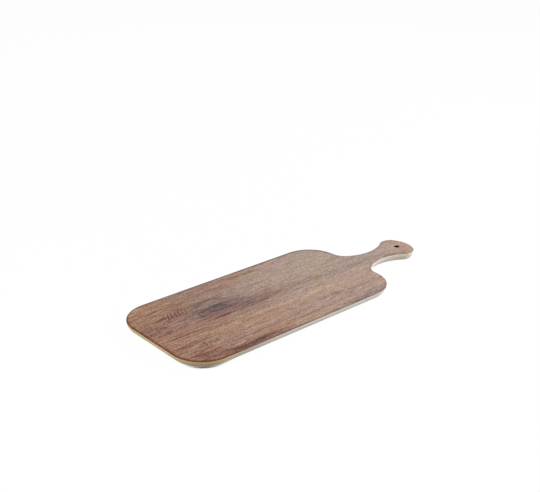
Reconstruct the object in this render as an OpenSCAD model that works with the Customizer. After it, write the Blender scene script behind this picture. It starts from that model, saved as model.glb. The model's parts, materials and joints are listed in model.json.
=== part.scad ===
// Paddle serving board: a moulded cream body with a printed wood-grain foil on top and four soft feet.
// The board lies flat with its handle towards +X. The origin is under its middle, where the feet stand.

/* [Blade] */
// Length of the blade, from the square end to the shoulders
blade_l = 364; // [300:1:420]
// Width of the blade
blade_w = 185; // [172:1:220]
// Radius of the two corners at the square end
end_corner_r = 47; // [24:1:60]
// Radius of the two shoulders beside the handle
shoulder_r = 47; // [30:1:58]

/* [Handle] */
// Length of the handle, from the shoulders to its tip
handle_l = 116; // [104:1:130]
// Width of the neck at its narrowest
neck_w = 29; // [24:0.5:36]
// Distance from the shoulders to the narrowest place of the neck
neck_from_blade = 47; // [36:0.5:54]
// Angle that the tight hollow beside the shoulder turns before it opens out along the neck
hollow_turn = 60; // [50:1:70]
// Width of the head
head_w = 58; // [48:0.5:68]
// Radius of the head's two corners
head_corner_r = 18; // [12:0.5:24]
// Radius of the head's end
head_end_r = 38; // [31:1:60]

/* [Thickness and edge] */
// Height of the cream side, from the underside to the foil's rim
side_h = 13; // [11:0.5:18]
// Rounding of the top edge, which the foil wraps
rim_r = 1.2; // [0.8:0.1:2.5]
// How far the side curves in under the blade
blade_under = 16.5; // [8:0.5:20]
// How far the side curves in under the handle
handle_under = 9.5; // [5:0.5:11]

/* [Foil] */
// Thickness of the printed foil with its clear overlay
foil_t = 0.4; // [0.3:0.05:0.7]

/* [Hanging hole] */
// Diameter of the hanging hole
hole_d = 9; // [6:0.5:12]
// Distance from the handle's tip to the middle of the hole
hole_from_tip = 21.5; // [18:0.5:26]

/* [Underside] */
// Thickness of the moulded plate over the recess
plate_t = 6; // [4:0.5:8]
// Width of the flat rim between the curved side and the recess
foot_rim_w = 12; // [11:0.5:16]
// Radius of the recess's corners
recess_r = 18; // [8:1:24]

/* [Feet] */
// Diameter of each foot's pad
pad_d = 9; // [7:0.5:10]
// Height that each pad stands proud of the underside
foot_proud = 0.8; // [0.5:0.1:1.5]
// Width of the chamfer round each pad's sole
pad_chamfer = 0.3; // [0.1:0.1:0.4]
// Depth of the seat that each pad lies in
seat_depth = 1.2; // [0.8:0.1:2]
// Diameter of each foot's stem
stem_d = 5; // [3:0.5:6]
// Length of each foot's stem above its pad
stem_l = 4; // [3:0.5:6]
// Gap between a foot and the walls of its seat and socket
foot_gap = 0.1; // [0.05:0.05:0.2]

/* [Hidden] */
$fn = 64;

// Largest turn between two points of the outline, in degrees
arc_step = 6;
// Number of steps down the curved side and over the top edge
side_steps = 8;
rim_steps = 4;
// Overrun that keeps cuts from ending on a face
cut = 1;

board_l = blade_l + handle_l;
half_w = blade_w / 2;
half_neck = neck_w / 2;
half_head = head_w / 2;

// Heights above the surface that the feet stand on
underside_z = foot_proud;
seam_z = underside_z + side_h;
top_z = seam_z + rim_r;
foil_bed_z = top_z - foil_t;
recess_roof_z = foil_bed_z - plate_t;

// Neck: a tight hollow that runs on from the shoulder, then an open one down to the narrowest place
neck_x = blade_l + neck_from_blade;
shoulder_y = half_w - shoulder_r;
open_share = (1 - sin(hollow_turn)) / cos(hollow_turn);
hollow_r = (shoulder_y - half_neck - neck_from_blade * open_share)
    / (sin(hollow_turn) - (1 - cos(hollow_turn)) * open_share);
open_hollow_r = (neck_from_blade - hollow_r * (1 - cos(hollow_turn))) / cos(hollow_turn);

// Head: an end arc on the axis, two corner arcs inside it, and hollows that run up to the corners
head_y = half_head - head_corner_r;
end_arc_x = board_l - head_end_r;
head_x = end_arc_x + sqrt(pow(head_end_r - head_corner_r, 2) - pow(head_y, 2));
neck_to_head = head_x - neck_x;
head_hollow_r = (pow(neck_to_head, 2) + pow(half_neck - head_y, 2) - pow(head_corner_r, 2))
    / (2 * (half_head - half_neck));
head_hollow_y = half_neck + head_hollow_r;
head_hollow_turn = atan2(head_y - head_hollow_y, neck_to_head);
end_arc_turn = atan2(head_y, head_x - end_arc_x);

// Points of an arc, each as [x, y, outward normal x, outward normal y], without the first
function bend(cx, cy, r, from, to, side) =
    let (n = max(2, ceil(abs(to - from) / arc_step)))
    [for (i = [1:n])
        let (a = from + (to - from) * i / n)
        [cx + r * cos(a), cy + r * sin(a), side * cos(a), side * sin(a)]];

// Outline of the left half, from the square end to the handle's tip
half_outline = concat(
    [[0, half_w - end_corner_r, -1, 0]],
    bend(end_corner_r, half_w - end_corner_r, end_corner_r, 180, 90, 1),
    [[blade_l - shoulder_r, half_w, 0, 1]],
    bend(blade_l - shoulder_r, shoulder_y, shoulder_r, 90, 0, 1),
    bend(blade_l + hollow_r, shoulder_y, hollow_r, 180, 180 + hollow_turn, -1),
    bend(neck_x, half_neck + open_hollow_r, open_hollow_r, 180 + hollow_turn, 270, -1),
    bend(neck_x, head_hollow_y, head_hollow_r, -90, head_hollow_turn, -1),
    bend(head_x, head_y, head_corner_r, 180 + head_hollow_turn, end_arc_turn, 1),
    bend(end_arc_x, 0, head_end_r, end_arc_turn, 0, 1)
);
half_count = len(half_outline);

// Whole outline: the left half, then its mirror image back to the square end
outline = concat(
    half_outline,
    [for (i = [half_count - 2:-1:0])
        let (p = half_outline[i])
        [p[0], -p[1], p[2], -p[3]]]
);

// Share of the handle's under-curve at a place along the board: 0 on the blade, 1 from the neck on
function handle_share(x) =
    let (t = min(1, max(0, (x - blade_l) / neck_from_blade)))
    t * t * (3 - 2 * t);

// The outline drawn in by one distance on the blade and another on the handle, at a height
function loop(blade_in, handle_in, z) =
    [for (p = outline)
        let (d = blade_in + (handle_in - blade_in) * handle_share(p[0]))
        [p[0] - d * p[2], p[1] - d * p[3], z]];

// Loops up the curved side, from the underside to the rim
side_loops = [for (i = [side_steps:-1:0])
    let (a = 90 * i / side_steps, draw = 1 - cos(a))
    loop(blade_under * draw, handle_under * draw, seam_z - side_h * sin(a))];

// Loops over the rounded top edge, at a depth below the foil's outer face
function rim_loops(depth) =
    [for (i = [0:rim_steps])
        let (
            a = 90 * i / rim_steps,
            r = rim_r - depth,
            d = depth + r * (1 - cos(a))
        )
        loop(d, d, seam_z + r * sin(a))];

// Feet stand on the middle of the foot rim, on the diagonals of the end corners and the shoulders
foot_inset = blade_under + foot_rim_w / 2;
function on_diagonal(cx, cy, r, way) =
    [cx + way * (r - foot_inset) * cos(45), cy + (r - foot_inset) * sin(45)];
end_foot_at = on_diagonal(end_corner_r, half_w - end_corner_r, end_corner_r, -1);
shoulder_foot_at = on_diagonal(blade_l - shoulder_r, shoulder_y, shoulder_r, 1);

// Moves what is drawn from the square end to its place about the board's middle
module centred() {
    translate([-board_l / 2, 0, 0])
        children();
}

// Closed solid through a stack of loops of the outline, capped at the first and the last.
// Each cap is a row of strips across the board, from the left half of its loop to the right half.
module skin(loops) {
    n = len(outline);
    tip = half_count - 1;
    top = (len(loops) - 1) * n;
    sides = [for (j = [0:len(loops) - 2], i = [0:n - 1], half = [0, 1])
        let (
            a = j * n + i,
            b = j * n + (i + 1) % n
        )
        half == 0 ? [a, b, b + n] : [a, b + n, a + n]];
    first_cap = [for (i = [0:tip - 1])
        let (across = n - 1 - i)
        i + 1 == tip ? [across, tip, i] : [across, across - 1, i + 1, i]];
    last_cap = [for (i = [0:tip - 1])
        let (across = top + n - 1 - i, a = top + i)
        i + 1 == tip ? [a, a + 1, across] : [a, a + 1, across - 1, across]];
    polyhedron(
        points = [for (l = loops, p = l) p],
        faces = concat(sides, first_cap, last_cap)
    );
}

module hanging_hole() {
    translate([board_l - hole_from_tip, 0, underside_z - cut])
        cylinder(d = hole_d, h = top_z - underside_z + 2 * cut);
}

// Recess under the blade: two crossed blocks and four round corners
module recess() {
    inset = blade_under + foot_rim_w;
    l = blade_l - 2 * inset;
    w = blade_w - 2 * inset;
    h = recess_roof_z - underside_z + cut;
    translate([inset, -w / 2, underside_z - cut]) {
        translate([recess_r, 0, 0])
            cube([l - 2 * recess_r, w, h]);
        translate([0, recess_r, 0])
            cube([l, w - 2 * recess_r, h]);
        for (x = [recess_r, l - recess_r], y = [recess_r, w - recess_r])
            translate([x, y, 0])
                cylinder(r = recess_r, h = h);
    }
}

// Seat for a pad and blind socket for its stem
module foot_socket() {
    translate([0, 0, underside_z - cut]) {
        cylinder(d = pad_d + 2 * foot_gap, h = seat_depth + cut);
        cylinder(d = stem_d + 2 * foot_gap, h = seat_depth + stem_l + foot_gap + cut);
    }
}

module on_all_feet() {
    for (at = [end_foot_at, shoulder_foot_at], way = [1, -1])
        translate([at[0], way * at[1], 0])
            children();
}

module moulded_body() {
    color("#D6C8AE")
        centred()
            difference() {
                skin(concat(side_loops, rim_loops(foil_t)));
                hanging_hole();
                recess();
                on_all_feet() foot_socket();
            }
}

module wood_grain_foil() {
    under = rim_loops(foil_t);
    color("#8F6E5F")
        centred()
            difference() {
                skin(concat([for (i = [rim_steps:-1:0]) under[i]], rim_loops(0)));
                hanging_hole();
            }
}

// Soft foot: a chamfered pad with a stem that plugs into the body
module foot(at, way) {
    color("#A9A69E")
        centred()
            translate([at[0], way * at[1], 0]) {
                cylinder(d1 = pad_d - 2 * pad_chamfer, d2 = pad_d, h = pad_chamfer);
                translate([0, 0, pad_chamfer])
                    cylinder(d = pad_d, h = foot_proud + seat_depth - pad_chamfer);
                cylinder(d = stem_d, h = foot_proud + seat_depth + stem_l);
            }
}

moulded_body();
wood_grain_foil();
foot(end_foot_at, 1);  // end_foot_left
foot(end_foot_at, -1);  // end_foot_right
foot(shoulder_foot_at, 1);  // shoulder_foot_left
foot(shoulder_foot_at, -1);  // shoulder_foot_right
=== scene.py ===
"""Paddle serving board: a moulded cream body, a printed wood-grain foil on top and four soft feet."""
import json
import math
from types import SimpleNamespace

import bmesh
import bpy
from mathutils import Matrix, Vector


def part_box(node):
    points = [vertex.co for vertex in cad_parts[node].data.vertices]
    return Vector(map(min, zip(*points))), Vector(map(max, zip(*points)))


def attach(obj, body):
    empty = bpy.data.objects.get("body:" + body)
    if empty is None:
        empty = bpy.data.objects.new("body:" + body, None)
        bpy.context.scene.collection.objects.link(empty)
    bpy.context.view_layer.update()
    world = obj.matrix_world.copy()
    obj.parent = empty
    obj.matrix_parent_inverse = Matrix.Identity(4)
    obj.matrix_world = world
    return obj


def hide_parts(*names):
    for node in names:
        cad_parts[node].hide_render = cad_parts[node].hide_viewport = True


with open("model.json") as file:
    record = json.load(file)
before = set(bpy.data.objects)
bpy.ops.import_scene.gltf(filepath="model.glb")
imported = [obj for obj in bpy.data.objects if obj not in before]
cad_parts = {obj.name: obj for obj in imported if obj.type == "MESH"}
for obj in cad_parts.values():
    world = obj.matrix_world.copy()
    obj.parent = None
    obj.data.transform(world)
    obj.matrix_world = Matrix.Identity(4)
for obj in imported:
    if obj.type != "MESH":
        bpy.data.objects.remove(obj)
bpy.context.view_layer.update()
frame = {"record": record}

# Sizes that the frame gives, in metres
FOIL_LOW, FOIL_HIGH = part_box("wood_grain_foil")
FEET = ["end_foot_left", "end_foot_right", "shoulder_foot_left", "shoulder_foot_right"]
SQUARE_END = FOIL_LOW.x
TIP = FOIL_HIGH.x
HALF_WIDTH = FOIL_HIGH.y
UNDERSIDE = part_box("moulded_body")[0].z
SEAM = FOIL_LOW.z
TOP = FOIL_HIGH.z
HOLE = next(m for m in frame["record"]["mounts"] if m["name"] == "hanging_hole")
HOLE_X = HOLE["pos_m"][0]
HOLE_R = HOLE["dims"]["r_mm"] / 1000

# Outline, in metres
SHOULDER = SQUARE_END + 0.364
CORNER_R = 0.047
NECK = SHOULDER + 0.047
HALF_NECK = 0.0145
HOLLOW_TURN = math.radians(60)
HALF_HEAD = 0.029
HEAD_CORNER_R = 0.018
HEAD_END_R = 0.038
ARC_STEP = math.radians(3)

# Edge of the board, in metres
BLADE_UNDER = 0.0165
HANDLE_UNDER = 0.0095
SIDE_STEPS = 16
RIM_STEPS = 6
FOIL_T = 0.0004
SUPPORT = 0.0005
EDGE_BAND = 0.003
FOIL_HOLE_ROUND = 0.00012
FOIL_HOLE_STEPS = 2

# Underside, in metres
MID_BLADE = (SQUARE_END + SHOULDER) / 2
PLATE_T = 0.006
FOOT_RIM = 0.012
RECESS_R = 0.018
RECESS_R_STEPS = 16
RECESS_DRAFT = 0.0004
RECESS_FILLET = 0.0022
FILLET_STEPS = 5
MOUTH_ROUND = 0.0007
SEAT_ROUND = 0.0003
ROUND_STEPS = 3
OVERRUN = 0.002
ROUND_SIDES = 72

# Feet, in metres
SEAT_GAP = 0.0001
SEAT_DEPTH = 0.0012
STEM_R = 0.0025
STEM_L = 0.004
SOLE_ROUND = 0.0003
DIMPLE_R = 0.0022
DIMPLE_DEPTH = 0.0003

# Limits for choosing faces and edges, and for smooth shading
WELD = 1e-6
FLAT = 0.99
STEEP = 0.5
HOLE_REACH = 1.1 * HOLE_R
SMOOTH_BELOW = math.radians(35)

# Camera at the photograph's view
CAMERA_AT = (-0.80561, -0.87753, 0.59235)
CAMERA_HEADING = math.radians(41.006)
CAMERA_DIP = math.radians(23.379)
CAMERA_LENS = 62.196


# Modelling helpers
def deselect():
    """Leaves edit mode and deselects every object."""
    if bpy.context.mode != "OBJECT":
        bpy.ops.object.mode_set(mode="OBJECT")
    bpy.ops.object.select_all(action="DESELECT")


def take(piece):
    """Makes one object the selected and active one."""
    deselect()
    piece.select_set(True)
    bpy.context.view_layer.objects.active = piece


def edit(piece, mode):
    """Opens a piece for editing vertices, edges or faces, with nothing selected."""
    take(piece)
    bpy.ops.object.mode_set(mode="EDIT")
    bpy.ops.mesh.select_mode(type=mode)
    bpy.ops.mesh.select_all(action="DESELECT")


def middle(part):
    """Middle of a face or an edge."""
    places = [v.co for v in part.verts]
    return sum(places[1:], places[0].copy()) / len(places)


def choose(piece, kind, wanted):
    """Selects the faces or edges of the open piece for which wanted is true."""
    bpy.ops.mesh.select_all(action="DESELECT")
    bpy.ops.mesh.select_mode(type=kind)
    mesh = bmesh.from_edit_mesh(piece.data)
    for part in mesh.faces if kind == "FACE" else mesh.edges:
        if wanted(part):
            part.select_set(True)
    bmesh.update_edit_mesh(piece.data)


def choose_flat(piece, height, way):
    """Selects the flat faces of the open piece at a height that point up (1) or down (-1)."""
    choose(piece, "FACE", lambda f: f.normal.z * way > FLAT and abs(middle(f).z - height) < WELD)


def cut_out(piece, cutter):
    """Cuts one object out of a piece, and deletes that object."""
    take(piece)
    cut = piece.modifiers.new("cut", "BOOLEAN")
    cut.operation = "DIFFERENCE"
    cut.solver = "EXACT"
    cut.object = cutter
    bpy.ops.object.modifier_apply(modifier=cut.name)
    bpy.data.objects.remove(cutter)


def drill(piece, x, y, radius, low, high):
    """Drills a round hole into a piece, between two heights."""
    deselect()
    bpy.ops.mesh.primitive_cylinder_add(
        vertices=ROUND_SIDES, radius=radius, depth=high - low, location=(x, y, (low + high) / 2))
    cut_out(piece, bpy.context.object)


def round_mouth(piece, height, wanted, width, steps=ROUND_STEPS):
    """Rounds the edges between a flat at a height and the walls that leave it, where wanted is true."""
    def at_mouth(e):
        if len(e.link_faces) != 2 or any(abs(v.co.z - height) > WELD for v in e.verts):
            return False
        slopes = sorted(abs(f.normal.z) for f in e.link_faces)
        return slopes[0] < STEEP and slopes[1] > FLAT and wanted(middle(e))
    edit(piece, "EDGE")
    choose(piece, "EDGE", at_mouth)
    bpy.ops.mesh.bevel(offset=width, segments=steps, affect="EDGES")
    deselect()


def at_hole(place):
    """True on the line of the hanging hole and just outside it."""
    return math.hypot(place.x - HOLE_X, place.y) < HOLE_REACH


def hand_in(piece, node, material):
    """Smooths a finished piece, dresses it and puts it in its node's place."""
    take(piece)
    bpy.ops.object.shade_smooth_by_angle(angle=SMOOTH_BELOW)
    piece.data.materials.clear()
    piece.data.materials.append(material)
    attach(piece, "root")
    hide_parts(node)


# Outline
def line(x, y):
    """Draws a straight stretch from the last point."""
    bpy.ops.mesh.extrude_region_move(TRANSFORM_OT_translate={"value": (x, y, 0)})


def arc(x, y, turn):
    """Draws an arc about a centre from the last point, anticlockwise for a positive turn."""
    steps = max(2, math.ceil(abs(turn) / ARC_STEP))
    bpy.ops.mesh.spin(steps=steps, angle=-turn, center=(x, y, SEAM), axis=(0, 0, 1))


def draw_half_outline():
    """Draws the left half of the outline, from the middle of the square end to the tip."""
    shoulder_y = HALF_WIDTH - CORNER_R
    neck_run = NECK - SHOULDER
    open_share = (1 - math.sin(HOLLOW_TURN)) / math.cos(HOLLOW_TURN)
    hollow_drop = math.sin(HOLLOW_TURN) - (1 - math.cos(HOLLOW_TURN)) * open_share
    hollow_r = (shoulder_y - HALF_NECK - neck_run * open_share) / hollow_drop
    open_r = (neck_run - hollow_r * (1 - math.cos(HOLLOW_TURN))) / math.cos(HOLLOW_TURN)
    head_y = HALF_HEAD - HEAD_CORNER_R
    end_x = TIP - HEAD_END_R
    head_x = end_x + math.sqrt((HEAD_END_R - HEAD_CORNER_R) ** 2 - head_y ** 2)
    head_run = head_x - NECK
    head_reach = head_run ** 2 + (HALF_NECK - head_y) ** 2 - HEAD_CORNER_R ** 2
    head_hollow_y = HALF_NECK + head_reach / (2 * (HALF_HEAD - HALF_NECK))
    corner_from = math.atan2(head_hollow_y - head_y, -head_run)
    corner_to = math.atan2(head_y, head_x - end_x)

    line(0, shoulder_y)
    arc(SQUARE_END + CORNER_R, shoulder_y, -math.pi / 2)
    line(SHOULDER - SQUARE_END - 2 * CORNER_R, 0)
    arc(SHOULDER - CORNER_R, shoulder_y, -math.pi / 2)
    arc(SHOULDER + hollow_r, shoulder_y, HOLLOW_TURN)
    arc(NECK, HALF_NECK + open_r, math.pi / 2 - HOLLOW_TURN)
    arc(NECK, head_hollow_y, corner_from - math.pi / 2)
    arc(head_x, head_y, corner_to - corner_from)
    arc(end_x, 0, -corner_to)


def draw_outline(name, way):
    """The board's outline in the plane of the seam, as one face that points up (1) or down (-1)."""
    deselect()
    bpy.ops.mesh.primitive_plane_add(size=CORNER_R, location=(0, 0, 0))
    piece = bpy.context.object
    piece.name = name
    bpy.ops.object.mode_set(mode="EDIT")
    bpy.ops.mesh.select_mode(type="VERT")
    bpy.ops.mesh.merge(type="CENTER")
    bpy.ops.transform.translate(value=(SQUARE_END, 0, SEAM))
    draw_half_outline()
    bpy.ops.mesh.select_all(action="SELECT")
    bpy.ops.mesh.duplicate()
    bpy.ops.transform.resize(value=(1, -1, 1), center_override=(0, 0, 0))
    bpy.ops.mesh.select_all(action="SELECT")
    bpy.ops.mesh.remove_doubles(threshold=WELD)
    bpy.ops.mesh.edge_face_add()
    bpy.ops.mesh.select_mode(type="FACE")
    bpy.ops.mesh.select_all(action="SELECT")
    mesh = bmesh.from_edit_mesh(piece.data)
    mesh.faces.ensure_lookup_table()
    if mesh.faces[0].normal.z * way < 0:
        bpy.ops.mesh.flip_normals()
    return piece


def close_seam(piece, way):
    """Closes the open seam of a piece and selects the new face, which points up (1) or down (-1)."""
    bpy.ops.mesh.select_all(action="DESELECT")
    bpy.ops.mesh.select_mode(type="EDGE")
    bpy.ops.mesh.select_non_manifold()
    bpy.ops.mesh.edge_face_add()
    bpy.ops.mesh.select_all(action="SELECT")
    bpy.ops.mesh.normals_make_consistent(inside=False)
    choose_flat(piece, SEAM, way)


def quarter_turn(steps):
    """Pairs of angles that follow each other, from 0 to a quarter turn."""
    angles = [math.pi / 2 * i / steps for i in range(steps + 1)]
    return zip(angles, angles[1:])


def roll_rim(radius, way):
    """Rolls the selected face in along a quarter circle, and along its normal or against it."""
    for a, b in quarter_turn(RIM_STEPS):
        bpy.ops.mesh.inset(
            thickness=radius * (math.cos(a) - math.cos(b)),
            depth=way * radius * (math.sin(b) - math.sin(a)))


# Moulded body
def handle_share(x):
    """0 on the blade, 1 from the neck on, and a smooth change between them."""
    t = min(1, max(0, (x - SHOULDER) / (NECK - SHOULDER)))
    return t * t * (3 - 2 * t)


def curve_under(piece):
    """Rolls the selected face down and in along a quarter ellipse, and less far in on the handle."""
    mesh = bmesh.from_edit_mesh(piece.data)
    share = mesh.verts.layers.float.new("handle_share")
    for v in mesh.verts:
        v[share] = handle_share(v.co.x)
    bmesh.update_edit_mesh(piece.data)
    for a, b in quarter_turn(SIDE_STEPS):
        bpy.ops.mesh.inset(
            thickness=BLADE_UNDER * (math.cos(a) - math.cos(b)),
            depth=(SEAM - UNDERSIDE) * (math.sin(b) - math.sin(a)))
        mesh = bmesh.from_edit_mesh(piece.data)
        share = mesh.verts.layers.float["handle_share"]
        ring = {v for f in mesh.faces if f.select for v in f.verts}
        for v in ring:
            outer = next(e.other_vert(v) for e in v.link_edges if e.other_vert(v) not in ring)
            keep = 1 + (HANDLE_UNDER / BLADE_UNDER - 1) * v[share]
            v.co.xy = outer.co.xy + (v.co.xy - outer.co.xy) * keep
        bmesh.update_edit_mesh(piece.data)


def recess_cutter():
    """Block with round corners, a little draft and a filleted top, for the space under the blade."""
    inset = BLADE_UNDER + FOOT_RIM
    length = SHOULDER - SQUARE_END - 2 * inset
    width = 2 * (HALF_WIDTH - inset)
    roof = TOP - FOIL_T - PLATE_T
    floor = UNDERSIDE - OVERRUN
    deselect()
    bpy.ops.mesh.primitive_cube_add(size=1, location=(0, 0, 0))
    cutter = bpy.context.object
    bpy.ops.object.mode_set(mode="EDIT")
    bpy.ops.transform.resize(value=(length, width, roof - floor), center_override=(0, 0, 0))
    bpy.ops.transform.translate(value=(MID_BLADE, 0, (roof + floor) / 2))
    choose(cutter, "EDGE", lambda e: abs(e.verts[0].co.z - e.verts[1].co.z) > WELD)
    bpy.ops.mesh.bevel(offset=RECESS_R, segments=RECESS_R_STEPS, affect="EDGES")
    choose_flat(cutter, roof, 1)
    drawn_in = (1 - 2 * RECESS_DRAFT / length, 1 - 2 * RECESS_DRAFT / width, 1)
    bpy.ops.transform.resize(value=drawn_in, center_override=(MID_BLADE, 0, roof))
    choose(cutter, "EDGE", lambda e: all(abs(v.co.z - roof) < WELD for v in e.verts))
    bpy.ops.mesh.bevel(offset=RECESS_FILLET, segments=FILLET_STEPS, affect="EDGES")
    deselect()
    return cutter


def foot_place(node):
    """Middle and radius of a foot's pad."""
    low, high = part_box(node)
    return (low.x + high.x) / 2, (low.y + high.y) / 2, (high.x - low.x) / 2


def cut_seat(piece, node):
    """Cuts the stepped seat of a foot into the body, with a small gap all round the foot."""
    x, y, pad_r = foot_place(node)
    seat = UNDERSIDE + SEAT_DEPTH
    drill(piece, x, y, pad_r + SEAT_GAP, UNDERSIDE - OVERRUN, seat)
    drill(piece, x, y, STEM_R + SEAT_GAP, seat - SEAT_GAP, seat + STEM_L + SEAT_GAP)
    reach = pad_r + 3 * SEAT_GAP
    round_mouth(piece, UNDERSIDE, lambda p: math.hypot(p.x - x, p.y - y) < reach, SEAT_ROUND)


def make_body():
    """The cream moulding, with the bed for the foil, the recess, the foot seats and the hanging hole."""
    piece = draw_outline("cream_body", -1)
    curve_under(piece)
    bpy.ops.mesh.inset(thickness=SUPPORT, depth=0)
    close_seam(piece, 1)
    bpy.ops.mesh.inset(thickness=FOIL_T, depth=0)
    roll_rim(TOP - SEAM - FOIL_T, 1)
    deselect()
    cut_out(piece, recess_cutter())
    reach_x = (SHOULDER - SQUARE_END) / 2 - BLADE_UNDER
    reach_y = HALF_WIDTH - BLADE_UNDER
    round_mouth(
        piece, UNDERSIDE,
        lambda p: abs(p.x - MID_BLADE) < reach_x and abs(p.y) < reach_y, MOUTH_ROUND)
    for foot in FEET:
        cut_seat(piece, foot)
    drill(piece, HOLE_X, 0, HOLE_R, UNDERSIDE - OVERRUN, TOP + OVERRUN)
    round_mouth(piece, UNDERSIDE, at_hole, MOUTH_ROUND)
    return piece


# Wood-grain foil
def mark_edge(piece, share):
    """Marks the corners of the selected faces with their share of the dark edge of the print."""
    mesh = bmesh.from_edit_mesh(piece.data)
    edge = mesh.verts.layers.float.get("edge") or mesh.verts.layers.float.new("edge")
    for v in mesh.verts:
        if v.select:
            v[edge] = share
    bmesh.update_edit_mesh(piece.data)


def make_foil():
    """The printed foil: a thin sheet that lies on the body and wraps round its top edge."""
    piece = draw_outline("wood_foil", 1)
    mark_edge(piece, 1)
    roll_rim(TOP - SEAM, 1)
    bpy.ops.mesh.inset(thickness=SUPPORT, depth=0)
    bpy.ops.mesh.inset(thickness=EDGE_BAND, depth=0)
    mark_edge(piece, 0)
    close_seam(piece, -1)
    bpy.ops.mesh.inset(thickness=FOIL_T, depth=0)
    roll_rim(TOP - SEAM - FOIL_T, -1)
    deselect()
    drill(piece, HOLE_X, 0, HOLE_R, SEAM - OVERRUN, TOP + OVERRUN)
    round_mouth(piece, TOP, at_hole, FOIL_HOLE_ROUND, FOIL_HOLE_STEPS)
    return piece


# Soft feet
def make_foot(node):
    """A soft foot: a round pad with a dimple in its sole, and the stem that plugs into the body."""
    x, y, pad_r = foot_place(node)
    pad_h = UNDERSIDE + SEAT_DEPTH
    deselect()
    bpy.ops.mesh.primitive_cylinder_add(
        vertices=ROUND_SIDES, radius=pad_r, depth=pad_h, location=(0, 0, 0))
    piece = bpy.context.object
    piece.name = "soft_" + node
    bpy.ops.object.mode_set(mode="EDIT")
    bpy.ops.transform.translate(value=(x, y, pad_h / 2))
    choose_flat(piece, pad_h, 1)
    bpy.ops.mesh.inset(thickness=pad_r - STEM_R, depth=0)
    bpy.ops.mesh.extrude_region_move(TRANSFORM_OT_translate={"value": (0, 0, STEM_L)})
    choose_flat(piece, 0, -1)
    bpy.ops.mesh.inset(thickness=pad_r - DIMPLE_R, depth=0)
    bpy.ops.mesh.inset(thickness=DIMPLE_DEPTH, depth=-DIMPLE_DEPTH)
    for height in (0, pad_h + STEM_L):
        choose(piece, "EDGE", lambda e: all(
            abs(v.co.z - height) < WELD and math.hypot(v.co.x - x, v.co.y - y) > DIMPLE_R + SEAT_GAP
            for v in e.verts) and len({round(abs(f.normal.z)) for f in e.link_faces}) == 2)
        bpy.ops.mesh.bevel(offset=SOLE_ROUND, segments=ROUND_STEPS, affect="EDGES")
    deselect()
    return piece


# Material helpers
PER_METRE = 1000
RELIEF_DEPTH = 0.0001
SATIN = 0.25
WHITE = (1, 1, 1, 1)


def add_node(tree, kind, inputs=(), **settings):
    """Adds a node, sets it up and fills its inputs with values or links."""
    made = tree.nodes.new("ShaderNode" + kind)
    for name, value in settings.items():
        setattr(made, name, value)
    for key, value in dict(inputs).items():
        if isinstance(value, bpy.types.NodeSocket):
            tree.links.new(value, made.inputs[key])
        else:
            made.inputs[key].default_value = value
    return made


def colour(red, green, blue):
    """A colour given as on a screen, from 0 to 255, in the linear form that sockets take."""
    def linear(c):
        c = c / 255
        return c / 12.92 if c <= 0.04045 else ((c + 0.055) / 1.055) ** 2.4
    return linear(red), linear(green), linear(blue), 1


def new_material(name):
    """An empty material with its tree and its main shader."""
    material = bpy.data.materials.new(name)
    material.use_nodes = True
    return material, material.node_tree, material.node_tree.nodes["Principled BSDF"]


def maths(tree, operation, *values, clamp=False):
    """One step of arithmetic on values or sockets."""
    return add_node(tree, "Math", enumerate(values), operation=operation, use_clamp=clamp).outputs[0]


def times(tree, first, *others):
    """Product of values or sockets."""
    for other in others:
        first = maths(tree, "MULTIPLY", first, other)
    return first


def weighted(tree, start, *terms):
    """A start value and, added to it, each term by its weight."""
    for value, weight in terms:
        start = maths(tree, "MULTIPLY_ADD", value, weight, start)
    return start


def varied(tree, depth, mark):
    """A depth that changes with a mark: its start and its change are given together."""
    start, change = depth
    return weighted(tree, start, (mark, change))


def highest(tree, first, *others):
    """The highest of some values or sockets."""
    for other in others:
        first = maths(tree, "MAXIMUM", first, other)
    return first


def vectors(tree, operation, *values, output=0):
    """One step of arithmetic on vectors."""
    return add_node(tree, "VectorMath", enumerate(values), operation=operation).outputs[output]


def apart(tree, vector):
    """The three parts of a vector."""
    return add_node(tree, "SeparateXYZ", {0: vector}).outputs


def together(tree, x, y, z=0):
    """A vector from its three parts."""
    return add_node(tree, "CombineXYZ", {0: x, 1: y, 2: z}).outputs[0]


def between(tree, value, low, high):
    """0 below low, 1 above high and a smooth change between; turned round if low is the higher."""
    inputs = {"Value": value, "From Min": low, "From Max": high}
    return add_node(tree, "MapRange", inputs, interpolation_type="SMOOTHSTEP").outputs[0]


def mix(tree, share, first, second, blend="MIX"):
    """Mixes two colours by a share from 0 to 1."""
    inputs = {0: share, 6: first, 7: second}
    return add_node(tree, "Mix", inputs, data_type="RGBA", blend_type=blend).outputs[2]


def ramp(tree, value, stops):
    """Colour ramp over a value, from stops that each have a position and a colour."""
    made = add_node(tree, "ValToRGB", {0: value})
    elements = made.color_ramp.elements
    while len(elements) < len(stops):
        elements.new(0.5)
    for element, (position, shade) in zip(elements, stops):
        element.position = position
        element.color = colour(*shade)
    return made.outputs[0]


def in_millimetres(tree):
    """Place on the board in millimetres: along it from the square end, across it, and up."""
    place = add_node(tree, "TexCoord").outputs["Object"]
    start = (-PER_METRE * SQUARE_END, 0, 0)
    inputs = {"Vector": place, "Location": start, "Scale": (PER_METRE, PER_METRE, PER_METRE)}
    return add_node(tree, "Mapping", inputs).outputs[0]


def finish(tree, shader, shade, rough, relief, height):
    """Links a colour, a roughness and a fine relief from a height to a shader."""
    tree.links.new(shade, shader.inputs["Base Color"])
    tree.links.new(rough, shader.inputs["Roughness"])
    inputs = {"Strength": relief, "Distance": RELIEF_DEPTH, "Height": height}
    tree.links.new(add_node(tree, "Bump", inputs).outputs[0], shader.inputs["Normal"])


# Effects that the materials share
STREAK_ROUGHNESS = 0.6
STRETCH_UP = 0.05


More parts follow.
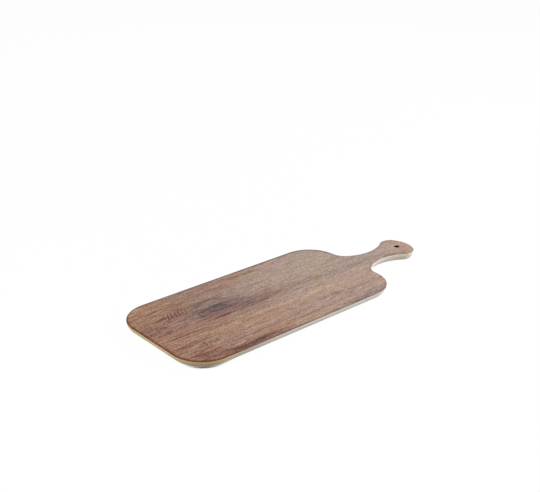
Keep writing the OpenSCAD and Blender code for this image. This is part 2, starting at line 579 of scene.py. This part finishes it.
def new_group(name, inputs, output):
    """A node group with named sockets and one output value. Returns it with its sockets inside."""
    group = bpy.data.node_groups.new(name, "ShaderNodeTree")
    kinds = {"value": "NodeSocketFloat", "vector": "NodeSocketVector"}
    for socket, kind in inputs.items():
        group.interface.new_socket(socket, in_out="INPUT", socket_type=kinds[kind])
    group.interface.new_socket(output, in_out="OUTPUT", socket_type=kinds["value"])
    given = group.nodes.new("NodeGroupInput").outputs
    made = group.nodes.new("NodeGroupOutput").inputs
    return group, given, made[output]


def soft_spot_group():
    """A soft slanted ellipse: 1 in its middle, fading outwards over its half sizes."""
    inputs = {"Place": "vector", "Middle": "vector", "Half Size": "vector", "Slope": "value"}
    group, given, mask = new_group("soft_spot", inputs, "Mask")
    x, y, _ = apart(group, vectors(group, "SUBTRACT", given["Place"], given["Middle"]))
    level = maths(group, "SUBTRACT", y, times(group, x, given["Slope"]))
    share = vectors(group, "DIVIDE", together(group, x, level), given["Half Size"])
    squared = vectors(group, "DOT_PRODUCT", share, share, output="Value")
    group.links.new(maths(group, "EXPONENT", times(group, squared, -1)), mask)
    return group


def streaks_group():
    """Uneven streaks, stretched by so much along each axis. The value is about 0 on average."""
    inputs = {"Place": "vector", "Stretch": "vector", "Detail": "value"}
    group, given, value = new_group("streaks", inputs, "Value")
    drawn = vectors(group, "MULTIPLY", given["Place"], given["Stretch"])
    inputs = {
        "Vector": drawn, "Scale": 1, "Detail": given["Detail"], "Roughness": STREAK_ROUGHNESS}
    noise = add_node(group, "TexNoise", inputs).outputs[0]
    group.links.new(times(group, maths(group, "SUBTRACT", noise, 0.5), 2), value)
    return group


SOFT_SPOT = soft_spot_group()
STREAKS = streaks_group()


def spot(tree, place, x, y, half_x, half_y, slope=0):
    """Mask of a soft ellipse on the board, in millimetres, that climbs by a slope along the board."""
    inputs = {"Place": place, "Middle": (x, y, 0), "Half Size": (half_x, half_y, 1), "Slope": slope}
    return add_node(tree, "Group", inputs, node_tree=SOFT_SPOT).outputs["Mask"]


def spots(tree, place, places):
    """Sum of the soft ellipses of a list, each at its own depth."""
    return weighted(tree, 0, *((spot(tree, place, *shape), depth) for *shape, depth in places.values()))


def streaks(tree, place, per_x, per_y, detail):
    """Streaks with so many changes per millimetre along and across the board."""
    inputs = {"Place": place, "Stretch": (per_x, per_y, STRETCH_UP), "Detail": detail}
    return add_node(tree, "Group", inputs, node_tree=STREAKS).outputs["Value"]


# Marks of the wood-grain print, in millimetres: middle, half length, half width, climb and depth
COOL_SHADES = {
    "behind the knot": (156, 5, 30, 10, -0.1, 0.3),
    "before the knot": (88, 14, 12, 6, -0.1, 0.6),
    "start of the arc": (102, 46, 7, 3, 0, 0.15),
    "middle band": (205, 4, 70, 10, -0.03, 0.36),
    "middle band, further on": (288, -1, 42, 5, 0, 0.24),
    "far edge": (205, 77, 34, 2.6, 0, 0.6),
    "slanting shade": (290, -62, 32, 8, -0.05, 0.22),
    "slanting line": (285, -55, 60, 3.2, -0.07, 0.36),
    "near edge, towards the handle": (305, -86, 46, 3.4, 0, 0.5),
    "into the handle": (372, -4, 28, 5, 0, 0.4),
    "along the neck": (428, -15, 24, 2.6, -0.3, 0.6),
}
BROWN_LINES = {
    "near edge": (72, -82, 44, 4.5, -0.08, 0.6),
    "near edge, darkest": (112, -83, 34, 4, -0.02, 0.8),
    "square end": (14, 14, 26, 12, 0, 0.25),
    "near corner": (30, -74, 26, 8, -0.1, 0.25),
    "above the near corner": (24, -55, 16, 8, 0, 0.14),
    "left of the arc": (80, 30, 16, 12, 0, 0.2),
    "upper left": (50, 63, 40, 1.2, 0.02, 0.8),
    "upper, past the knot": (140, 64, 28, 1.2, -0.1, 0.6),
    "before the fleck": (35, 36, 24, 1.2, 0.16, 0.85),
    "before the fleck, upper": (46, 42, 14, 1.1, 0.25, 0.7),
    "below the fleck": (20, 24.7, 30, 1.3, 0, 0.6),
    "under the middle": (32, 3, 22, 1.3, 0, 0.5),
    "below the knot": (113, -3, 22, 1.9, 0.02, 1.0),
    "past the knot": (180, -1, 22, 1.7, 0.06, 0.7),
    "left": (35, -17, 34, 1.4, 0, 0.75),
    "lower left": (20, -38, 20, 1.3, 0, 0.65),
    "into the eye": (34, -58, 18, 1.2, 0.3, 0.6),
    "under the eye": (50, -65, 14, 1.2, 0.3, 0.5),
    "lowest left": (18, -65, 18, 1.6, 0, 0.8),
    "above the near edge": (315, -79, 60, 9, 0, 0.16),
    "near side": (150, -66, 50, 1.3, 0.02, 0.4),
    "near side, further on": (205, -75, 50, 1.3, 0.02, 0.5),
}
PALE_STREAKS = {
    "far corner": (42, 66, 42, 26, 0, 0.8),
    "near side": (100, -38, 56, 14, 0, 0.7),
    "straw line": (236, -31, 50, 5, 0, 0.9),
    "straw patch": (232, 52, 16, 14, 0, 0.5),
    "far side": (300, 38, 46, 24, 0, 0.35),
    "near side, further on": (300, -44, 40, 14, 0, 0.4),
    "eye": (56, -52, 4.5, 8, 0, 0.8),
    "neck line": (372, 8, 24, 2, 0, 0.6),
    "by the hole": (464, 2, 12, 10, 0, 0.7),
}
WARM_STREAKS = {
    "far edge": (190, 84, 74, 4, 0, 0.7),
    "below the far edge": (178, 66, 30, 6, 0, 0.5),
    "middle of the near side": (150, -40, 50, 16, 0, 0.25),
    "far corner": (40, 80, 40, 8, 0, 0.35),
    "square end": (26, 22, 30, 9, 0, 0.35),
    "near corner": (24, -57, 20, 10, 0, 0.3),
    "far shoulder": (262, 66, 40, 18, 0, 0.25),
    "tip": (470, 0, 14, 26, 0, 0.5),
}

# Knot, arc over it, eye and fleck: places and half sizes in millimetres, and how they are drawn
KNOT = (117, 19)
KNOT_HALF = (17, 11)
KNOT_UNEVEN = 0.5
CORE_FADE = (1.7, 0.2)
KNOT_RINGS = 11
RINGS_UNEVEN = 3
RINGS_FADE = (4, 1)
STRIPED_ALONG = (KNOT[0] + 6, KNOT[0] - 8)
STRIPED_RINGS = (0.1, 0.8)
PARTED_HALF = (25, 11)
KNOT_PARTING = 0.7
HAZE = (138, 13)
HAZE_HALF = (56, 16)
HAZE_SLOPE = -0.15
EYE = (56, -52)
EYE_HALF = (11, 8)
EYE_PARTING = 0.6
LEAST_PARTED = 1.25
ARCHES = (52, -53)
ARCHES_HALF = (15, 9)
ARCH_BOW = 0.22
ARCH_SPACING = 6.5
ARCH_LINE = (0.1, 0.95)
HALO = (118, 28)
HALO_HALF = (29, 17)
HALO_WIDTH = 0.28
HALO_UNEVEN = 0.12
HALO_TILT = 0.35
HALO_START = HALO[1] + HALO_TILT * HALO[0]
HALO_RISE = (HALO_START - 2, HALO_START + 8)
HALO_END = (154, 134)
FLECK = (62, 40)
FLECK_HALF = (18, 7)
FLECK_SLOPE = 0.15
HATCH_LEAN = -0.45
HATCH_SPACING = 5.6
HATCH_LINE = (0.1, 0.9)
LINE_SWAY = 5

# Streaks of the grain: changes per millimetre along and across the board, and their detail
GRAIN_STREAKS = {
    "fibres": (0.06, 0.95, 2),
    "fine": (0.05, 0.30, 1),
    "grain": (0.012, 0.10, 2),
    "bands": (0.004, 0.045, 2),
    "pores": (0.05, 0.5, 1),
    "strands": (0.012, 0.20, 1),
    "flecks": (0.38, 0.85, 1),
    "hue": (0.006, 0.06, 1),
    "tint": (0.011, 0.07, 1),
}
SLOW_WAVES = (0.010, 0.022, 1)
QUICK_WAVES = (0.045, 0.11, 1)
LINE_DRIFT = (0.006, 0.05, 1)
LINE_GAPS = (0.012, 0.16, 1)

# Waves of the grain in millimetres, its growth lines and its pores
SLOW_SWAY = 7
QUICK_SWAY = 0.9
LINE_SPACING = 5.4
LINE_WANDER = 10
LINE_SHARPNESS = 3
LINE_SHOWN = (-0.25, 0.45)
PORE_SHOWN = (0.12, 0.42)

# Stretches over which the print changes along and across the board, in millimetres
TOWARDS_HANDLE = (40, 270)
GREYER_ALONG = (40, 300)
GREYER_ACROSS = (-30, 40)
AT_SQUARE_END = (130, 40)
FAR_SIDE_ALONG = (60, 140)
FAR_SIDE_ACROSS = (10, 70)
ON_HANDLE = (360, 400)
ROLLED_DOWN = (PER_METRE * TOP - 0.02, PER_METRE * TOP - 0.4)

# How much each mark lightens or darkens the print, first the marks that are fainter at the handle
FADING_MARKS = {"fine": 0.35, "strands": 0.2, "grain": 0.1, "bands": 0.12, "lines": -0.24}
EVEN_MARKS = {
    "fibres": 0.28,
    "flecks": 0.66,
    "pores": -0.14,
    "hatch": -0.62,
    "arches": -0.34,
    "rings": -0.08,
    "pale": 0.16,
}

# How much each mark wears the core of the knot, and how much it turns the print grey
CORE_MARKS = {"flecks": -0.4, "fine": -0.25}
GREY_MARKS = {"dark": 0.4, "halo": 0.4}

# Depths of the print's shades, some with how much they change with another mark
TONE = 0.75
# Lighter towards the handle: partly the print's own tone, partly painted sheen
TONE_AND_SHEEN_TO_HANDLE = 0.235
TONE_SCALE = 0.8
FADING = (1, -0.5)
HALO_DEPTH = (-0.2, 0.1)
DARK_DEPTH = (-0.42, 0.6)
THIN_DEPTH = (-0.6, 0.4)
GREY = 0.02
# Greyer towards the handle: partly the print's own colour, partly painted sheen
GREY_AND_SHEEN_ALONG = 0.6
GREY_ACROSS = 0.2
HUE_DEPTH = (0.8, -0.35)
PALE_STRAW = 0.8
STRAW_FROM = (0.05, 0.45)
MAUVE_FROM = (-0.05, -0.45)
TINT_DEPTH = (0.15, 0.55)
HALO_HAZE = 0.65
HAZE_DEPTH = (0.46, -0.25)
CORE_DEPTH = 0.7
STRIPE_DEPTH = (1, -0.3)
BAND_EDGE = (0.3, 1)
BAND_DEPTH = (0.3, 0.35)
FAR_BAND_EDGE = (0, 0.6)
FAR_BAND_DEPTH = 0.8
RIM_DEPTH = 0.82
RIM_ON_HANDLE = -0.3
RIM_AT_SQUARE_END = 0.15
PRINT_ROUGHNESS = 0.64
GRAIN_ROUGHNESS = 0.05
RIM_ROUGHNESS = 0.2
PRINT_RELIEF = 0.12

# Colours of the print, as on a screen, and its tints
RED_BROWN = [
    (0.0, (74, 44, 36)),
    (0.28, (117, 75, 61)),
    (0.52, (149, 106, 88)),
    (0.8, (181, 145, 123)),
    (1.0, (204, 170, 148)),
]
GREY_BROWN = [
    (0.0, (58, 50, 49)),
    (0.28, (98, 82, 77)),
    (0.52, (131, 112, 103)),
    (0.8, (168, 150, 140)),
    (1.0, (194, 176, 166)),
]
HAZE_COLOUR = (80, 62, 76)
KNOT_COLOUR = (72, 65, 71)
RIM_COLOUR = (80, 60, 54)
SQUARE_END_RIM = (104, 45, 9)
STRAW = (1.0, 0.98, 0.80, 1)
MAUVE = (0.94, 0.91, 1.0, 1)


def oval(tree, place, middle_xy, half_xy):
    """How far out a place lies in an ellipse, squared: 0 in its middle and 1 on its line."""
    offset = vectors(tree, "SUBTRACT", place, (*middle_xy, 0))
    share = vectors(tree, "MULTIPLY", offset, (1 / half_xy[0], 1 / half_xy[1], 0))
    return vectors(tree, "DOT_PRODUCT", share, share, output="Value")


def part_round(tree, place, y, middle_xy, half_xy, strength):
    """The place across the board, with the grain led round an ellipse."""
    squared = highest(tree, oval(tree, place, middle_xy, half_xy), LEAST_PARTED)
    parting = maths(tree, "SUBTRACT", 1, maths(tree, "DIVIDE", strength, squared))
    return weighted(tree, middle_xy[1], (maths(tree, "SUBTRACT", y, middle_xy[1]), parting))


def grain_flow(tree, place):
    """The place on the board with the grain led round the knot and the eye, and a little waviness."""
    x, y, z = apart(tree, place)
    led = part_round(tree, place, y, KNOT, PARTED_HALF, KNOT_PARTING)
    led = part_round(tree, place, led, EYE, EYE_HALF, EYE_PARTING)
    quick = streaks(tree, place, *QUICK_WAVES)
    slow = streaks(tree, place, *SLOW_WAVES)
    return together(tree, x, weighted(tree, led, (quick, QUICK_SWAY), (slow, SLOW_SWAY)), z)


def growth_lines(tree, flow):
    """Thin lines along the grain, a few millimetres apart, that come and go: 1 on a line."""
    drift = streaks(tree, flow, *LINE_DRIFT)
    phase = times(tree, apart(tree, flow)[1], 2 * math.pi / LINE_SPACING)
    phase = weighted(tree, phase, (drift, LINE_WANDER))
    wave = weighted(tree, 0.5, (maths(tree, "SINE", phase), 0.5))
    shown = between(tree, streaks(tree, flow, *LINE_GAPS), *LINE_SHOWN)
    return times(tree, maths(tree, "POWER", wave, LINE_SHARPNESS), shown)


def knot_halo(tree, wood):
    """The arc over the knot: 1 on its line, fading to both sides and behind the knot."""
    outward = maths(tree, "SQRT", oval(tree, wood.place, HALO, HALO_HALF))
    outward = weighted(tree, outward, (wood.grain, HALO_UNEVEN))
    beside = maths(tree, "DIVIDE", maths(tree, "SUBTRACT", outward, 1), HALO_WIDTH)
    ring = maths(tree, "EXPONENT", times(tree, beside, beside, -1))
    upper = between(tree, weighted(tree, wood.y, (wood.x, HALO_TILT)), *HALO_RISE)
    return times(tree, ring, upper, between(tree, wood.x, *HALO_END))


def swaying_lines(tree, wood, across, spacing, shown):
    """Lines at a spacing in millimetres that sway with the strands of the grain: 1 on a line."""
    phase = times(tree, weighted(tree, across, (wood.strands, LINE_SWAY)), 2 * math.pi / spacing)
    return between(tree, maths(tree, "SINE", phase), *shown)


def fleck_hatch(tree, wood):
    """The short slanting lines of the fleck."""
    across = weighted(tree, wood.x, (wood.y, HATCH_LEAN))
    lines = swaying_lines(tree, wood, across, HATCH_SPACING, HATCH_LINE)
    return times(tree, lines, spot(tree, wood.place, *FLECK, *FLECK_HALF, FLECK_SLOPE))


def eye_arches(tree, wood):
    """The arched lines at the small eye."""
    from_eye = maths(tree, "SUBTRACT", wood.y, EYE[1])
    across = weighted(tree, wood.x, (times(tree, from_eye, from_eye), ARCH_BOW))
    lines = swaying_lines(tree, wood, across, ARCH_SPACING, ARCH_LINE)
    return times(tree, lines, spot(tree, wood.place, *ARCHES, *ARCHES_HALF))


def knot_rings(tree, wood):
    """How far out of the knot a place lies, and the rings round the knot, from -1 to 1."""
    outward = weighted(tree, oval(tree, wood.place, KNOT, KNOT_HALF), (wood.grain, KNOT_UNEVEN))
    phase = times(tree, maths(tree, "SQRT", outward), KNOT_RINGS)
    rings = maths(tree, "SINE", weighted(tree, phase, (wood.grain, RINGS_UNEVEN)))
    return outward, times(tree, rings, between(tree, outward, *RINGS_FADE))


def wood_marks(tree):
    """All marks of the print, as values over the board."""
    place = in_millimetres(tree)
    flow = grain_flow(tree, place)
    x, y, z = apart(tree, place)
    grain = {name: streaks(tree, flow, *rates) for name, rates in GRAIN_STREAKS.items()}
    wood = SimpleNamespace(place=place, x=x, y=y, z=z, **grain)
    wood.pores = between(tree, wood.pores, *PORE_SHOWN)
    wood.lines = growth_lines(tree, flow)
    wood.dark = spots(tree, flow, COOL_SHADES)
    wood.thin = spots(tree, flow, BROWN_LINES)
    wood.pale = spots(tree, flow, PALE_STREAKS)
    wood.warm = spots(tree, flow, WARM_STREAKS)
    wood.halo = knot_halo(tree, wood)
    wood.hatch = fleck_hatch(tree, wood)
    wood.arches = eye_arches(tree, wood)
    wood.from_knot, wood.rings = knot_rings(tree, wood)
    wood.towards_handle = between(tree, x, *TOWARDS_HANDLE)
    return wood


def add_marks(tree, wood, weights, start):
    """A start value and, added to it, each named mark by its weight."""
    return weighted(tree, start, *((getattr(wood, name), weight) for name, weight in weights.items()))


def print_tone(tree, wood):
    """How light the print is, from 0 to 1."""
    # Lighter towards the handle, partly as painted sheen
    tone = weighted(
        tree, TONE,
        (wood.towards_handle, TONE_AND_SHEEN_TO_HANDLE),
        (add_marks(tree, wood, FADING_MARKS, 0), varied(tree, FADING, wood.towards_handle)))
    tone = weighted(
        tree, add_marks(tree, wood, EVEN_MARKS, tone),
        (wood.halo, varied(tree, HALO_DEPTH, wood.fine)),
        (wood.dark, varied(tree, DARK_DEPTH, wood.fine)),
        (wood.thin, varied(tree, THIN_DEPTH, wood.fibres)))
    return times(tree, tone, TONE_SCALE)


def grey_share(tree, wood):
    """How far the print turns from red-brown to grey-brown, from 0 to 1."""
    # Greyer towards the handle, partly as painted sheen
    grey = weighted(
        tree, GREY,
        (between(tree, wood.y, *GREYER_ACROSS), GREY_ACROSS),
        (between(tree, wood.x, *GREYER_ALONG), GREY_AND_SHEEN_ALONG),
        (wood.hue, varied(tree, HUE_DEPTH, wood.towards_handle)))
    return maths(tree, "SUBTRACT", add_marks(tree, wood, GREY_MARKS, grey), wood.warm, clamp=True)


def tint_print(tree, wood, shade):
    """Tints the print straw yellow and mauve in turns, more so towards the handle."""
    shade = mix(tree, times(tree, wood.pale, PALE_STRAW), shade, STRAW, "MULTIPLY")
    tinted = varied(tree, TINT_DEPTH, wood.towards_handle)
    straw = times(tree, between(tree, wood.tint, *STRAW_FROM), tinted)
    shade = mix(tree, straw, shade, STRAW, "MULTIPLY")
    mauve = times(tree, between(tree, wood.tint, *MAUVE_FROM), tinted)
    return mix(tree, mauve, shade, MAUVE, "MULTIPLY")


def darken_knot(tree, wood, shade):
    """Adds the haze round the knot, and its dark core with paler stripes at the square end's side."""
    haze = spot(tree, wood.place, *HAZE, *HAZE_HALF, HAZE_SLOPE)
    haze = highest(tree, haze, times(tree, wood.halo, HALO_HAZE))
    haze = times(tree, haze, varied(tree, HAZE_DEPTH, wood.fine))
    shade = mix(tree, haze, shade, colour(*HAZE_COLOUR))
    worn = add_marks(tree, wood, CORE_MARKS, CORE_DEPTH)
    core = maths(tree, "MULTIPLY", between(tree, wood.from_knot, *CORE_FADE), worn, clamp=True)
    striped = between(tree, wood.x, *STRIPED_ALONG)
    stripes = times(tree, between(tree, wood.rings, *STRIPED_RINGS), striped)
    core = times(tree, core, varied(tree, STRIPE_DEPTH, stripes))
    return mix(tree, core, shade, colour(*KNOT_COLOUR))


def rim_line(tree, wood, square):
    """The dark line where the print rolls over the top edge, with a fainter band beside it."""
    edge = add_node(tree, "Attribute", attribute_name="edge").outputs["Fac"]
    rolled = between(tree, wood.z, *ROLLED_DOWN)
    band = times(tree, between(tree, edge, *BAND_EDGE), varied(tree, BAND_DEPTH, square))
    far_side = times(
        tree, between(tree, wood.y, *FAR_SIDE_ACROSS), between(tree, wood.x, *FAR_SIDE_ALONG))
    far_band = times(tree, between(tree, edge, *FAR_BAND_EDGE), far_side, FAR_BAND_DEPTH)
    on_handle = between(tree, wood.x, *ON_HANDLE)
    depth = weighted(tree, RIM_DEPTH, (on_handle, RIM_ON_HANDLE), (square, RIM_AT_SQUARE_END))
    return times(tree, highest(tree, rolled, band, far_band), depth)


def wood_grain_print():
    """Brown wood grain with a knot, printed on the foil under a satin clear overlay."""
    material, tree, shader = new_material("brown_wood_print")
    wood = wood_marks(tree)
    tone = print_tone(tree, wood)
    red_brown = ramp(tree, tone, RED_BROWN)
    grey_brown = ramp(tree, tone, GREY_BROWN)
    shade = mix(tree, grey_share(tree, wood), red_brown, grey_brown)
    shade = tint_print(tree, wood, shade)
    shade = darken_knot(tree, wood, shade)
    square = between(tree, wood.x, *AT_SQUARE_END)
    rim = rim_line(tree, wood, square)
    rim_colour = mix(tree, square, colour(*RIM_COLOUR), colour(*SQUARE_END_RIM))
    shade = mix(tree, rim, shade, rim_colour)
    rough = weighted(tree, PRINT_ROUGHNESS, (wood.grain, GRAIN_ROUGHNESS), (rim, RIM_ROUGHNESS))
    height = maths(tree, "SUBTRACT", wood.fibres, wood.pores)
    shader.inputs["Specular IOR Level"].default_value = SATIN
    finish(tree, shader, shade, rough, PRINT_RELIEF, height)
    return material


# Creams of the melamine, each with its two shades, as on a screen
CREAMS = {
    "yellow": ((192, 167, 121), (202, 178, 133)),
    "yellowest": ((186, 160, 108), (195, 170, 119)),
    "dull": ((187, 177, 161), (194, 184, 168)),
    "pale": ((213, 199, 181), (220, 207, 190)),
    "greyish": ((207, 198, 186), (213, 205, 193)),
    "warm": ((224, 208, 182), (231, 216, 192)),
}
CREAM_CLOUDS = (0.03, 0.03, 3)
CREAM_SPECKLE = (0.9, 0.9, 2)
CREAM_TONE = (0.5, 0.25)
CLOUD_DEPTH = 0.5
CREAM_ROUGHNESS = (0.38, 0.06)
CREAM_RELIEF = 0.08
# Painted highlight and painted shades on the side
SIDE_HIGHLIGHT = (222, 192, 138)
SIDE_SHADE = (150, 134, 104)
SIDE_GREY_SHADE = (188, 184, 178)
# Painted shade for the wall of the hanging hole
HOLE_SHADE = (72, 48, 28)

# Where the creams change along, across and up the board, in millimetres, and by how much
# Along the board the creams change partly in the melamine's own colour and partly as painted light and
# shade: duller near the square end, paler towards the handle
CREAM_CHANGES = {"dull": (15, 90), "pale": (85, 140), "greyish": (170, 260)}
YELLOWEST_ACROSS = (-5, 35)
END_SIDE = (26, 20)
SHOULDER_SIDE = (338, 344)
LONG_SIDE = (66, 72)
ABOVE_UNDERSIDE = (0.85, 1.3)
SQUARE_END_SIDE = (90, 25)
# Where the painted highlight and painted shades lie on the side, and how strong they are
HIGHLIGHT_HEIGHT = (9, 12)
HIGHLIGHT_DEPTH = 0.35
SIDE_SHADE_HEIGHT = (10, 7)
SIDE_SHADE_DEPTH = 0.3
GREY_SHADE_HEIGHT = (13, 10)
GREY_SHADE_ALONG = (90, 180)
GREY_SHADE_DEPTH = 0.4
WARM_ALONG = (405, 445)
WARM_DEPTH = 0.5
HOLE_WALL = (PER_METRE * HOLE_R + 0.35, PER_METRE * HOLE_R + 0.05)


def cream(tree, name, tone):
    """One of the creams, between its two shades."""
    first, second = CREAMS[name]
    return mix(tree, tone, colour(*first), colour(*second))


def outer_side(tree, x, y, z):
    """1 on the outer side of the board, 0 in the recess and on the flat underside."""
    side = highest(
        tree,
        between(tree, x, *END_SIDE),
        between(tree, x, *SHOULDER_SIDE),
        between(tree, maths(tree, "ABSOLUTE", y), *LONG_SIDE))
    return times(tree, side, between(tree, z, *ABOVE_UNDERSIDE))


def paint_side_highlight_and_shade(tree, x, y, z, shade):
    """Paints a highlight on the side's upper part and shade on its lower part at the square end, and
    greyer shade below the top along the blade.
    """
    side = outer_side(tree, x, y, z)
    square = times(tree, between(tree, x, *SQUARE_END_SIDE), side)
    # Painted highlight along the upper side at the square end
    upper = times(tree, between(tree, z, *HIGHLIGHT_HEIGHT), square, HIGHLIGHT_DEPTH)
    shade = mix(tree, upper, shade, colour(*SIDE_HIGHLIGHT))
    # Painted shade on the lower side at the square end
    lower = times(tree, between(tree, z, *SIDE_SHADE_HEIGHT), square, SIDE_SHADE_DEPTH)
    shade = mix(tree, lower, shade, colour(*SIDE_SHADE))
    # Painted shade: the side greyer below its top along the blade
    blade = times(tree, between(tree, x, *GREY_SHADE_ALONG), side)
    grey_shade = times(tree, between(tree, z, *GREY_SHADE_HEIGHT), blade, GREY_SHADE_DEPTH)
    return mix(tree, grey_shade, shade, colour(*SIDE_GREY_SHADE))


def paint_hole_shade(tree, x, y, shade):
    """Paints shade on the wall of the hanging hole, dark brown."""
    hole = (PER_METRE * (HOLE_X - SQUARE_END), 0, 0)
    away = vectors(tree, "DISTANCE", together(tree, x, y), hole, output="Value")
    return mix(tree, between(tree, away, *HOLE_WALL), shade, colour(*HOLE_SHADE))


def cream_melamine():
    """Moulded cream melamine with a satin gloss, with painted light and shade on its sides and dark
    brown painted shade on the wall of the hanging hole.
    """
    material, tree, shader = new_material("satin_cream_melamine")
    place = in_millimetres(tree)
    x, y, z = apart(tree, place)
    clouds = streaks(tree, place, *CREAM_CLOUDS)
    speckle = streaks(tree, place, *CREAM_SPECKLE)
    speckled = varied(tree, CREAM_TONE, speckle)
    tone = maths(tree, "MULTIPLY_ADD", clouds, CLOUD_DEPTH, speckled, clamp=True)
    # The creams along and across the board are partly the melamine's own colour, partly painted light
    # and shade
    far = between(tree, y, *YELLOWEST_ACROSS)
    shade = mix(tree, far, cream(tree, "yellow", tone), cream(tree, "yellowest", tone))
    for name, (start, end) in CREAM_CHANGES.items():
        shade = mix(tree, between(tree, x, start, end), shade, cream(tree, name, tone))
    # Painted highlight and painted shade on the side
    shade = paint_side_highlight_and_shade(tree, x, y, z, shade)
    head = times(tree, between(tree, x, *WARM_ALONG), WARM_DEPTH)
    shade = mix(tree, head, shade, cream(tree, "warm", tone))
    # Painted shade in the hanging hole
    shade = paint_hole_shade(tree, x, y, shade)
    shader.inputs["Specular IOR Level"].default_value = SATIN
    finish(tree, shader, shade, varied(tree, CREAM_ROUGHNESS, clouds), CREAM_RELIEF, speckle)
    return material


# Silicone feet
PALE_SILICONE = (172, 170, 164)
DARK_SILICONE = (150, 148, 142)
SILICONE_CLOUDS = (0.25, 0.25, 2)
SILICONE_TONE = (0.5, 0.8)
SILICONE_SKIN = (2, 2, 2)
SILICONE_ROUGHNESS = (0.62, 0.08)
SILICONE_RELIEF = 0.1


def foot_silicone():
    """Matt grey silicone."""
    material, tree, shader = new_material("grey_silicone")
    place = in_millimetres(tree)
    clouds = streaks(tree, place, *SILICONE_CLOUDS)
    tone = varied(tree, SILICONE_TONE, clouds)
    shade = mix(tree, tone, colour(*DARK_SILICONE), colour(*PALE_SILICONE))
    skin = streaks(tree, place, *SILICONE_SKIN)
    finish(tree, shader, shade, varied(tree, SILICONE_ROUGHNESS, clouds), SILICONE_RELIEF, skin)
    return material


# Stage, in metres and watts
FLOOR_RADIUS = 7
FLOOR_SIDES = 64
FLOOR_ROUGHNESS = 0.9
BACKDROP = 1.3
FLOOR_GREY = (0.36, 0.36, 0.36, 1)
FLOOR_SHADOW = 0.02
WORLD_LIGHT = 0.1
SOFTBOXES = {
    "front_right_softbox": ((0.8, -0.75, 0.5), (1.8, 1.0), 23),
    "back_right_softbox": ((1.3, 1.3, 0.8), (1.2, 1.2), 6),
    "left_softbox": ((-1.1, 0.25, 0.5), (0.8, 0.8), 9),
    "top_softbox": ((0.0, 0.0, 2.2), (1.8, 1.8), 10.2),
}

# Contact line under the near corner: middle and half sizes in millimetres, insets in metres
CONTACT_AT = (24, -76)
CONTACT_HALF = (30, 20)
CONTACT_SHADOW = 1
CONTACT_INSET = 0.0078
CONTACT_FULL = 1.2 * CONTACT_INSET


def kept_shadow(tree):
    """How much of the shadow the floor keeps: a little, and all of it under the near corner."""
    corner = spot(tree, in_millimetres(tree), *CONTACT_AT, *CONTACT_HALF)
    round_r = HALF_WIDTH / 2
    place = vectors(tree, "ABSOLUTE", add_node(tree, "TexCoord").outputs["Object"])
    outside = vectors(tree, "SUBTRACT", place, (TIP - round_r, HALF_WIDTH - round_r, 0))
    outside = vectors(tree, "MAXIMUM", outside, (0, 0, 0))
    away = vectors(tree, "LENGTH", outside, output="Value")
    close = between(tree, away, round_r - CONTACT_INSET, round_r - CONTACT_FULL)
    return weighted(tree, FLOOR_SHADOW, (times(tree, close, corner), CONTACT_SHADOW - FLOOR_SHADOW))


def white_floor():
    """White to the eye and in reflections, with part of the shadow kept, and grey to other light."""
    material, tree, shader = new_material("white_floor")
    shader.inputs["Roughness"].default_value = FLOOR_ROUGHNESS
    path = add_node(tree, "LightPath").outputs
    seen = highest(tree, path["Is Camera Ray"], path["Is Glossy Ray"], path["Is Transmission Ray"])
    tree.links.new(mix(tree, seen, FLOOR_GREY, WHITE), shader.inputs["Base Color"])
    white = add_node(tree, "Emission", {"Color": WHITE, "Strength": 1}).outputs[0]
    share = times(tree, seen, maths(tree, "SUBTRACT", 1, kept_shadow(tree)))
    both = add_node(tree, "MixShader", {0: share, 1: shader.outputs[0], 2: white}).outputs[0]
    tree.links.new(both, tree.nodes["Material Output"].inputs["Surface"])
    return material


def make_floor():
    """Round floor with a low backdrop all round it."""
    deselect()
    bpy.ops.mesh.primitive_circle_add(vertices=FLOOR_SIDES, radius=FLOOR_RADIUS, fill_type="NGON")
    floor = bpy.context.object
    floor.name = "floor"
    bpy.ops.object.mode_set(mode="EDIT")
    bpy.ops.mesh.select_mode(type="EDGE")
    bpy.ops.mesh.select_all(action="SELECT")
    bpy.ops.mesh.extrude_edges_move(TRANSFORM_OT_translate={"value": (0, 0, BACKDROP)})
    deselect()
    floor.data.materials.append(white_floor())


def make_lights():
    """Even light from all round, and large soft boxes that face the board."""
    world = bpy.data.worlds.new("studio")
    bpy.context.scene.world = world
    world.use_nodes = True
    background = world.node_tree.nodes["Background"]
    background.inputs["Color"].default_value = WHITE
    background.inputs["Strength"].default_value = WORLD_LIGHT
    for name, (place, size, watts) in SOFTBOXES.items():
        light = bpy.data.lights.new(name, "AREA")
        light.shape = "RECTANGLE"
        light.size, light.size_y = size
        light.energy = watts
        lamp = bpy.data.objects.new(name, light)
        lamp.location = place
        lamp.rotation_euler = (-lamp.location).to_track_quat("-Z", "Y").to_euler()
        bpy.context.scene.collection.objects.link(lamp)


def make_camera():
    """Camera at the photograph's view."""
    camera = bpy.data.objects.new("camera", bpy.data.cameras.new("camera"))
    camera.location = CAMERA_AT
    camera.rotation_euler = (math.pi / 2 - CAMERA_DIP, 0, -CAMERA_HEADING)
    camera.data.lens = CAMERA_LENS
    bpy.context.scene.collection.objects.link(camera)
    bpy.context.scene.camera = camera
    bpy.context.scene.view_settings.view_transform = "Standard"


# The whole scene
make_floor()
make_lights()
make_camera()
hand_in(make_body(), "moulded_body", cream_melamine())
hand_in(make_foil(), "wood_grain_foil", wood_grain_print())
silicone = foot_silicone()
for foot in FEET:
    hand_in(make_foot(foot), foot, silicone)
